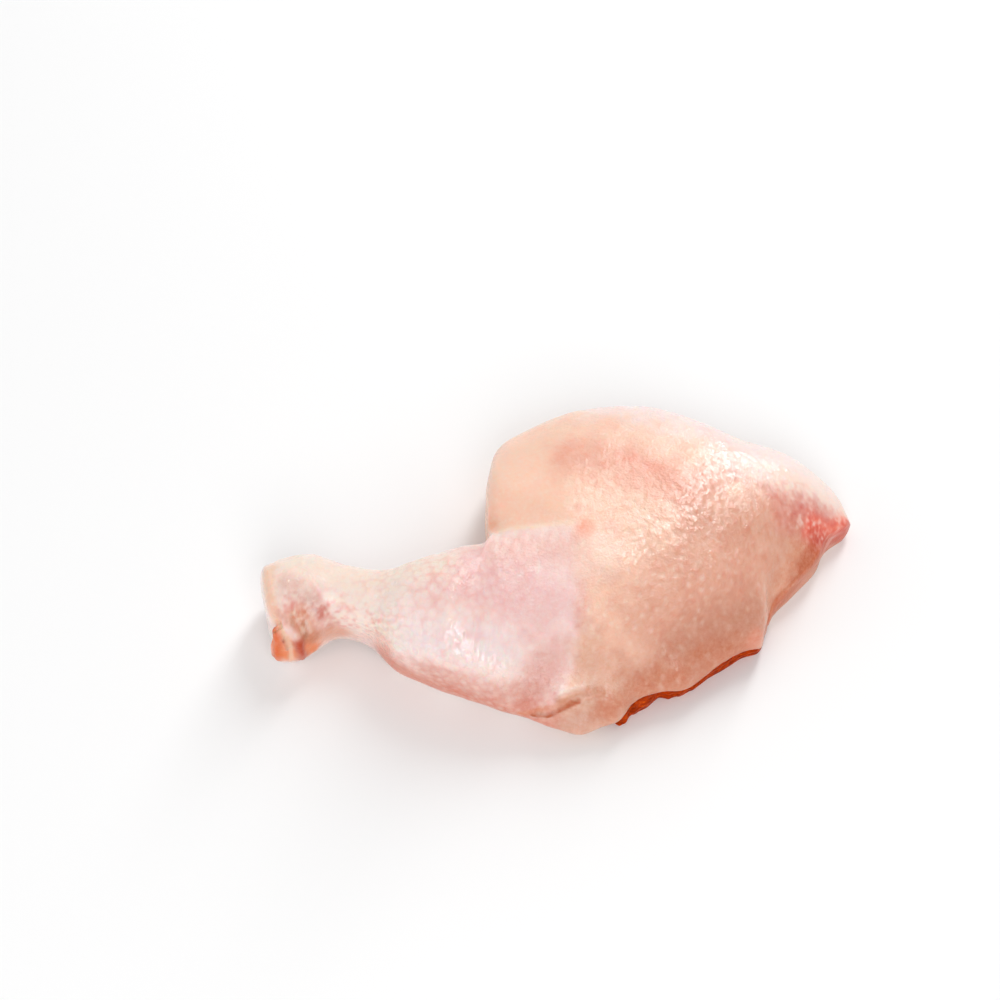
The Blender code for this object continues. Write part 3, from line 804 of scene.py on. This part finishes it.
def add_node(tree, kind, inputs=None, **settings):
    """Add a shader node of a kind with its settings; each input is linked if it is given a socket and set
    if a value."""
    made = tree.nodes.new("ShaderNode" + kind)
    for name, value in settings.items():
        setattr(made, name, value)
    for name, value in (inputs or {}).items():
        if isinstance(value, bpy.types.NodeSocket):
            tree.links.new(value, made.inputs[name])
        else:
            made.inputs[name].default_value = value
    return made


def new_material(name):
    """An empty node material, its tree and its output's surface socket."""
    material = bpy.data.materials.new(name)
    material.use_nodes = True
    tree = material.node_tree
    tree.nodes.clear()
    return material, tree, add_node(tree, "OutputMaterial").inputs["Surface"]


def raw_skin_material(settings):
    """Raw chicken skin, scalded and plucked: thin, moist and a little see-through, so it scatters light
    inside and has a broken wet shine. Its pores and finest wrinkles are here only."""
    material, tree, surface = new_material("wet_raw_chicken_skin")
    tone, ways, zones = (
        add_node(tree, "Attribute", attribute_name=name)
        for name in ("skin_tone", "wrinkle_ways", "skin_zones")
    )
    zone = add_node(tree, "SeparateXYZ", {"Vector": zones.outputs["Vector"]})
    place = add_node(tree, "TexCoord").outputs["Object"]
    mottle, streaks, pores = (
        add_node(
            tree,
            "TexNoise",
            {"Vector": vector, "Scale": scale, "Detail": detail, "Roughness": rough, "Distortion": bend},
        ).outputs["Fac"]
        for vector, scale, detail, rough, bend in (
            (place, MOTTLES_PER_MM / MM, 3.0, 0.6, 0.0),
            (ways.outputs["Vector"], STREAKS_PER_MM, 2.0, 0.5, 0.6),
            (place, PORES_PER_MM / MM, 2.0, 0.5, 0.0),
        )
    )
    pore_height = add_node(tree, "Math", {0: pores, 1: zone.outputs["Y"]}, operation="MULTIPLY")
    relief = add_node(
        tree,
        "Math",
        {0: streaks, 1: zone.outputs["X"], 2: pore_height.outputs[0]},
        operation="MULTIPLY_ADD",
    )
    # Each pattern, the range taken from it and the range it becomes. Light passes through more flesh in the
    # valleys, which deepens every colour towards red. The shine is broken, and the water gathers in places a
    # millimetre or two wide.
    streak_depth, mottle_depth, shine, gathered = (
        add_node(
            tree,
            "MapRange",
            {"Value": pattern, "From Min": low, "From Max": high, "To Min": first, "To Max": last},
        ).outputs["Result"]
        for pattern, low, high, first, last in (
            (streaks, 0.32, 0.68, 1.1, 0.91),
            (mottle, 0.32, 0.68, 1.14, 0.88),
            (mottle, 0.35, 0.65, 0.30, 0.46),
            (mottle, 0.42, 0.57, 0.2, 1.0),
        )
    )
    depth = add_node(tree, "Mix", {0: zone.outputs["X"], 2: mottle_depth, 3: streak_depth})
    colour = add_node(tree, "Gamma", {"Color": tone.outputs["Color"], "Gamma": depth.outputs[0]})
    rough = add_node(
        tree,
        "Bump",
        {"Height": relief.outputs[0], "Strength": 1.0, "Distance": settings.fine_wrinkle_depth},
    )
    film = add_node(tree, "Math", {0: gathered, 1: zone.outputs["Z"]}, operation="MULTIPLY")
    skin = add_node(
        tree,
        "BsdfPrincipled",
        {
            "Base Color": colour.outputs["Color"],
            "Roughness": shine,
            "IOR": 1.42,
            "Subsurface Weight": settings.see_through,
            "Subsurface Radius": (1.0, 0.45, 0.30),
            "Subsurface Scale": 0.0008,
            "Coat Weight": film.outputs[0],
            "Coat Roughness": 0.09,
            "Coat IOR": 1.6,
            "Normal": rough.outputs["Normal"],
            "Coat Normal": rough.outputs["Normal"],
        },
    )
    tree.links.new(skin.outputs["BSDF"], surface)
    return material


def raw_meat_material(settings):
    """Raw dark thigh meat, cut and wet: deep red-brown bundles of fibre about 1 mm wide that run along the
    thigh, with thin paler fat between them."""
    material, tree, surface = new_material("wet_raw_dark_meat")
    place = add_node(tree, "TexCoord")
    laid = add_node(
        tree,
        "Mapping",
        {"Vector": place.outputs["Object"], "Rotation": (0, 0, -0.6), "Scale": (0.22, 1.0, 1.0)},
    )
    pattern = {"Scale": FIBRES_PER_MM / MM, "Detail": 4.0, "Roughness": 0.6, "Distortion": 0.3}
    fibres = add_node(tree, "TexNoise", {"Vector": laid.outputs["Vector"], **pattern})
    tones = add_node(tree, "ValToRGB", {"Fac": fibres.outputs["Fac"]})
    ramp = tones.color_ramp
    ramp.elements[0].position = 0.30
    ramp.elements[0].color = (*settings.dark_tone, 1)
    ramp.elements[1].position = 0.62
    ramp.elements[1].color = (*settings.red_tone, 1)
    fat = ramp.elements.new(0.78)
    fat.color = (*settings.fat_tone, 1)
    grain = add_node(
        tree, "Bump", {"Height": fibres.outputs["Fac"], "Strength": 0.45, "Distance": 0.0005}
    )
    meat = add_node(
        tree,
        "BsdfPrincipled",
        {
            "Base Color": tones.outputs["Color"],
            "Roughness": 0.5,
            "Specular IOR Level": 0.06,
            "Subsurface Weight": 0.1,
            "Subsurface Radius": (1.0, 0.25, 0.15),
            "Subsurface Scale": 0.0005,
            "Normal": grain.outputs["Normal"],
        },
    )
    tree.links.new(meat.outputs["BSDF"], surface)
    return material


def matt_floor_material(tone):
    """Matt white studio board: no shine and no pattern."""
    material, tree, surface = new_material("matt_white_studio_board")
    finish = {"Base Color": (*tone, 1), "Roughness": 0.9, "Specular IOR Level": 0.1}
    board = add_node(tree, "BsdfPrincipled", finish)
    tree.links.new(board.outputs["BSDF"], surface)
    return material


def length_setting(name, description, millimetres):
    """A property for a length, with its default in millimetres."""
    return bpy.props.FloatProperty(
        name=name, description=description, default=millimetres * MM, min=0, precision=5, unit="LENGTH"
    )


def colour_setting(name, description, colour):
    """A property for a colour, with its default as sRGB hex."""
    return bpy.props.FloatVectorProperty(
        name=name, description=description, default=linear(colour), size=3, min=0, max=1, subtype="COLOR"
    )


class SkinSettings(bpy.types.PropertyGroup):
    bump_height: length_setting("Bump height", "Height of the feather bumps on the drumstick", 0.42)
    bump_spacing: length_setting("Bump spacing", "Distance between neighbouring feather bumps", 3.3)
    wrinkle_depth: length_setting("Wrinkle depth", "Depth of the wrinkles that run round the thigh", 0.18)
    fine_wrinkle_depth: length_setting("Fine wrinkle depth", "Depth of the pores and finest wrinkles", 0.2)
    unevenness: length_setting("Unevenness", "Height of the soft swellings and hollows under the skin", 0.45)
    drumstick_tone: colour_setting("Drumstick tone", "Pink of the drumstick's skin", "#fbe2db")
    thigh_tone: colour_setting("Thigh tone", "Peach of the thigh's skin", "#f6ccb5")
    see_through: bpy.props.FloatProperty(
        name="See-through", description="Share of light scattered under the skin", default=0.8, min=0, max=1
    )


class MeatSettings(bpy.types.PropertyGroup):
    fibre_relief: length_setting("Fibre relief", "Height of the muscle's bundles where the meat shows", 0.5)
    dark_tone: colour_setting("Dark tone", "Colour deep between the fibres", "#781c00")
    red_tone: colour_setting("Red tone", "Colour of the fibres", "#c84400")
    fat_tone: colour_setting("Fat tone", "Colour of the thin fat between the bundles", "#ee8428")


class StudioSettings(bpy.types.PropertyGroup):
    floor_tone: colour_setting("Floor tone", "Colour of the floor", "#f8f8f8")
    elevation: bpy.props.FloatProperty(
        name="Camera elevation",
        description="Angle of the view above the floor",
        default=math.radians(55),
        subtype="ANGLE",
    )
    distance: length_setting("Camera distance", "Distance from the camera to the point it aims at", 1000.0)
    lens: bpy.props.FloatProperty(name="Lens", description="Focal length in mm", default=100.0, min=10)


class LEGQUARTER_OT_skin(bpy.types.Operator):
    """Build the skin-covered leg: the whole drumstick and the thigh's skin"""

    bl_idname = "legquarter.skin"
    bl_label = "Build skin"

    def execute(self, context):
        settings = context.scene.leg_skin
        outer, inner, values = skin_surface(settings)
        fields = {
            "skin_tone": skin_tones(values, settings),
            "wrinkle_ways": values["ways"],
            "skin_zones": np.stack([values["wrinkles"], values["pores"], values["wet"]], axis=-1),
        }
        # The lower surface has the values of each ring's first point.
        for name, field in fields.items():
            fields[name] = whole_rings(field, np.broadcast_to(field[:, :1], inner.shape))
        rings = whole_rings(outer, inner)
        piece = closed_mesh("skin", rings - plan_middle(rings), fields)
        piece.data.materials.append(raw_skin_material(settings))
        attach(piece, "root")
        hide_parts(SKIN_NODE)
        context.scene["leg_middle"] = plan_middle(rings).tolist()
        return {"FINISHED"}


class LEGQUARTER_OT_meat(bpy.types.Operator):
    """Build the bare meat that fills the thigh and shows under the skin's front edge"""

    bl_idname = "legquarter.meat"
    bl_label = "Build meat"

    def execute(self, context):
        settings = context.scene.leg_meat
        rings = meat_surface(settings)
        middle = np.array(context.scene["leg_middle"])
        piece = closed_mesh("meat", rings - middle, {})
        piece.data.materials.append(raw_meat_material(settings))
        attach(piece, "root")
        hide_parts(MEAT_NODE)
        return {"FINISHED"}


class LEGQUARTER_OT_studio(bpy.types.Operator):
    """Build the floor, the soft lights and the camera"""

    bl_idname = "legquarter.studio"
    bl_label = "Build studio"

    def execute(self, context):
        settings = context.scene.leg_studio
        scene = context.scene
        corners = [(x * FLOOR_HALF, y * FLOOR_HALF, 0) for x, y in ((-1, -1), (1, -1), (1, 1), (-1, 1))]
        mesh = bpy.data.meshes.new("floor")
        mesh.from_pydata(corners, [], [(0, 1, 2, 3)])
        floor = bpy.data.objects.new("floor", mesh)
        scene.collection.objects.link(floor)
        mesh.materials.append(matt_floor_material(settings.floor_tone))

        world = bpy.data.worlds.new("studio_air")
        world.use_nodes = True
        air = world.node_tree.nodes["Background"].inputs
        air["Color"].default_value = (1, 1, 1, 1)
        air["Strength"].default_value = AIR_STRENGTH
        scene.world = world
        for light in LIGHTS:
            data = bpy.data.lights.new(light.name, "AREA")
            data.shape = "RECTANGLE"
            data.size = light.width
            data.size_y = light.height
            data.energy = light.power
            lamp = bpy.data.objects.new(light.name, data)
            lamp.location = light.place
            lamp.rotation_euler = aimed_at_middle(light.place)
            scene.collection.objects.link(lamp)

        data = bpy.data.cameras.new("camera")
        data.lens = settings.lens
        data.sensor_width = SENSOR_WIDTH
        camera = bpy.data.objects.new("camera", data)
        target = np.array(CAMERA_TARGET) * MM - np.array(scene["leg_middle"]) * MM
        back = np.array((0, -math.cos(settings.elevation), math.sin(settings.elevation)))
        camera.location = target + back * settings.distance
        camera.rotation_euler = (math.pi / 2 - settings.elevation, 0, 0)
        scene.collection.objects.link(camera)
        scene.camera = camera
        scene.view_settings.view_transform = "Standard"
        return {"FINISHED"}


def aimed_at_middle(place):
    """The turn that points a light's -Z from a place to the origin, with no roll."""
    x, y, z = place
    return (math.atan2(math.hypot(x, y), z), 0, math.atan2(x, -y))


class LEGQUARTER_PT_panel(bpy.types.Panel):
    """The leg quarter's settings and its pieces"""

    bl_idname = "LEGQUARTER_PT_panel"
    bl_label = "Leg quarter"
    bl_space_type = "VIEW_3D"
    bl_region_type = "UI"
    bl_category = "Leg quarter"

    def draw(self, context):
        for group, operator in GROUPS:
            settings = getattr(context.scene, group)
            box = self.layout.box()
            for name in type(settings).__annotations__:
                box.prop(settings, name)
            box.operator(operator)


GROUPS = (
    ("leg_skin", "legquarter.skin"),
    ("leg_meat", "legquarter.meat"),
    ("leg_studio", "legquarter.studio"),
)
CLASSES = (
    SkinSettings,
    MeatSettings,
    StudioSettings,
    LEGQUARTER_OT_skin,
    LEGQUARTER_OT_meat,
    LEGQUARTER_OT_studio,
    LEGQUARTER_PT_panel,
)


def register():
    for kind in CLASSES:
        bpy.utils.register_class(kind)
    for (group, _), kind in zip(GROUPS, CLASSES):
        setattr(bpy.types.Scene, group, bpy.props.PointerProperty(type=kind))


def unregister():
    for group, _ in GROUPS:
        delattr(bpy.types.Scene, group)
    for kind in reversed(CLASSES):
        bpy.utils.unregister_class(kind)


def main():
    register()
    bpy.ops.legquarter.skin()
    bpy.ops.legquarter.meat()
    bpy.ops.legquarter.studio()


if __name__ == "__main__":
    main()
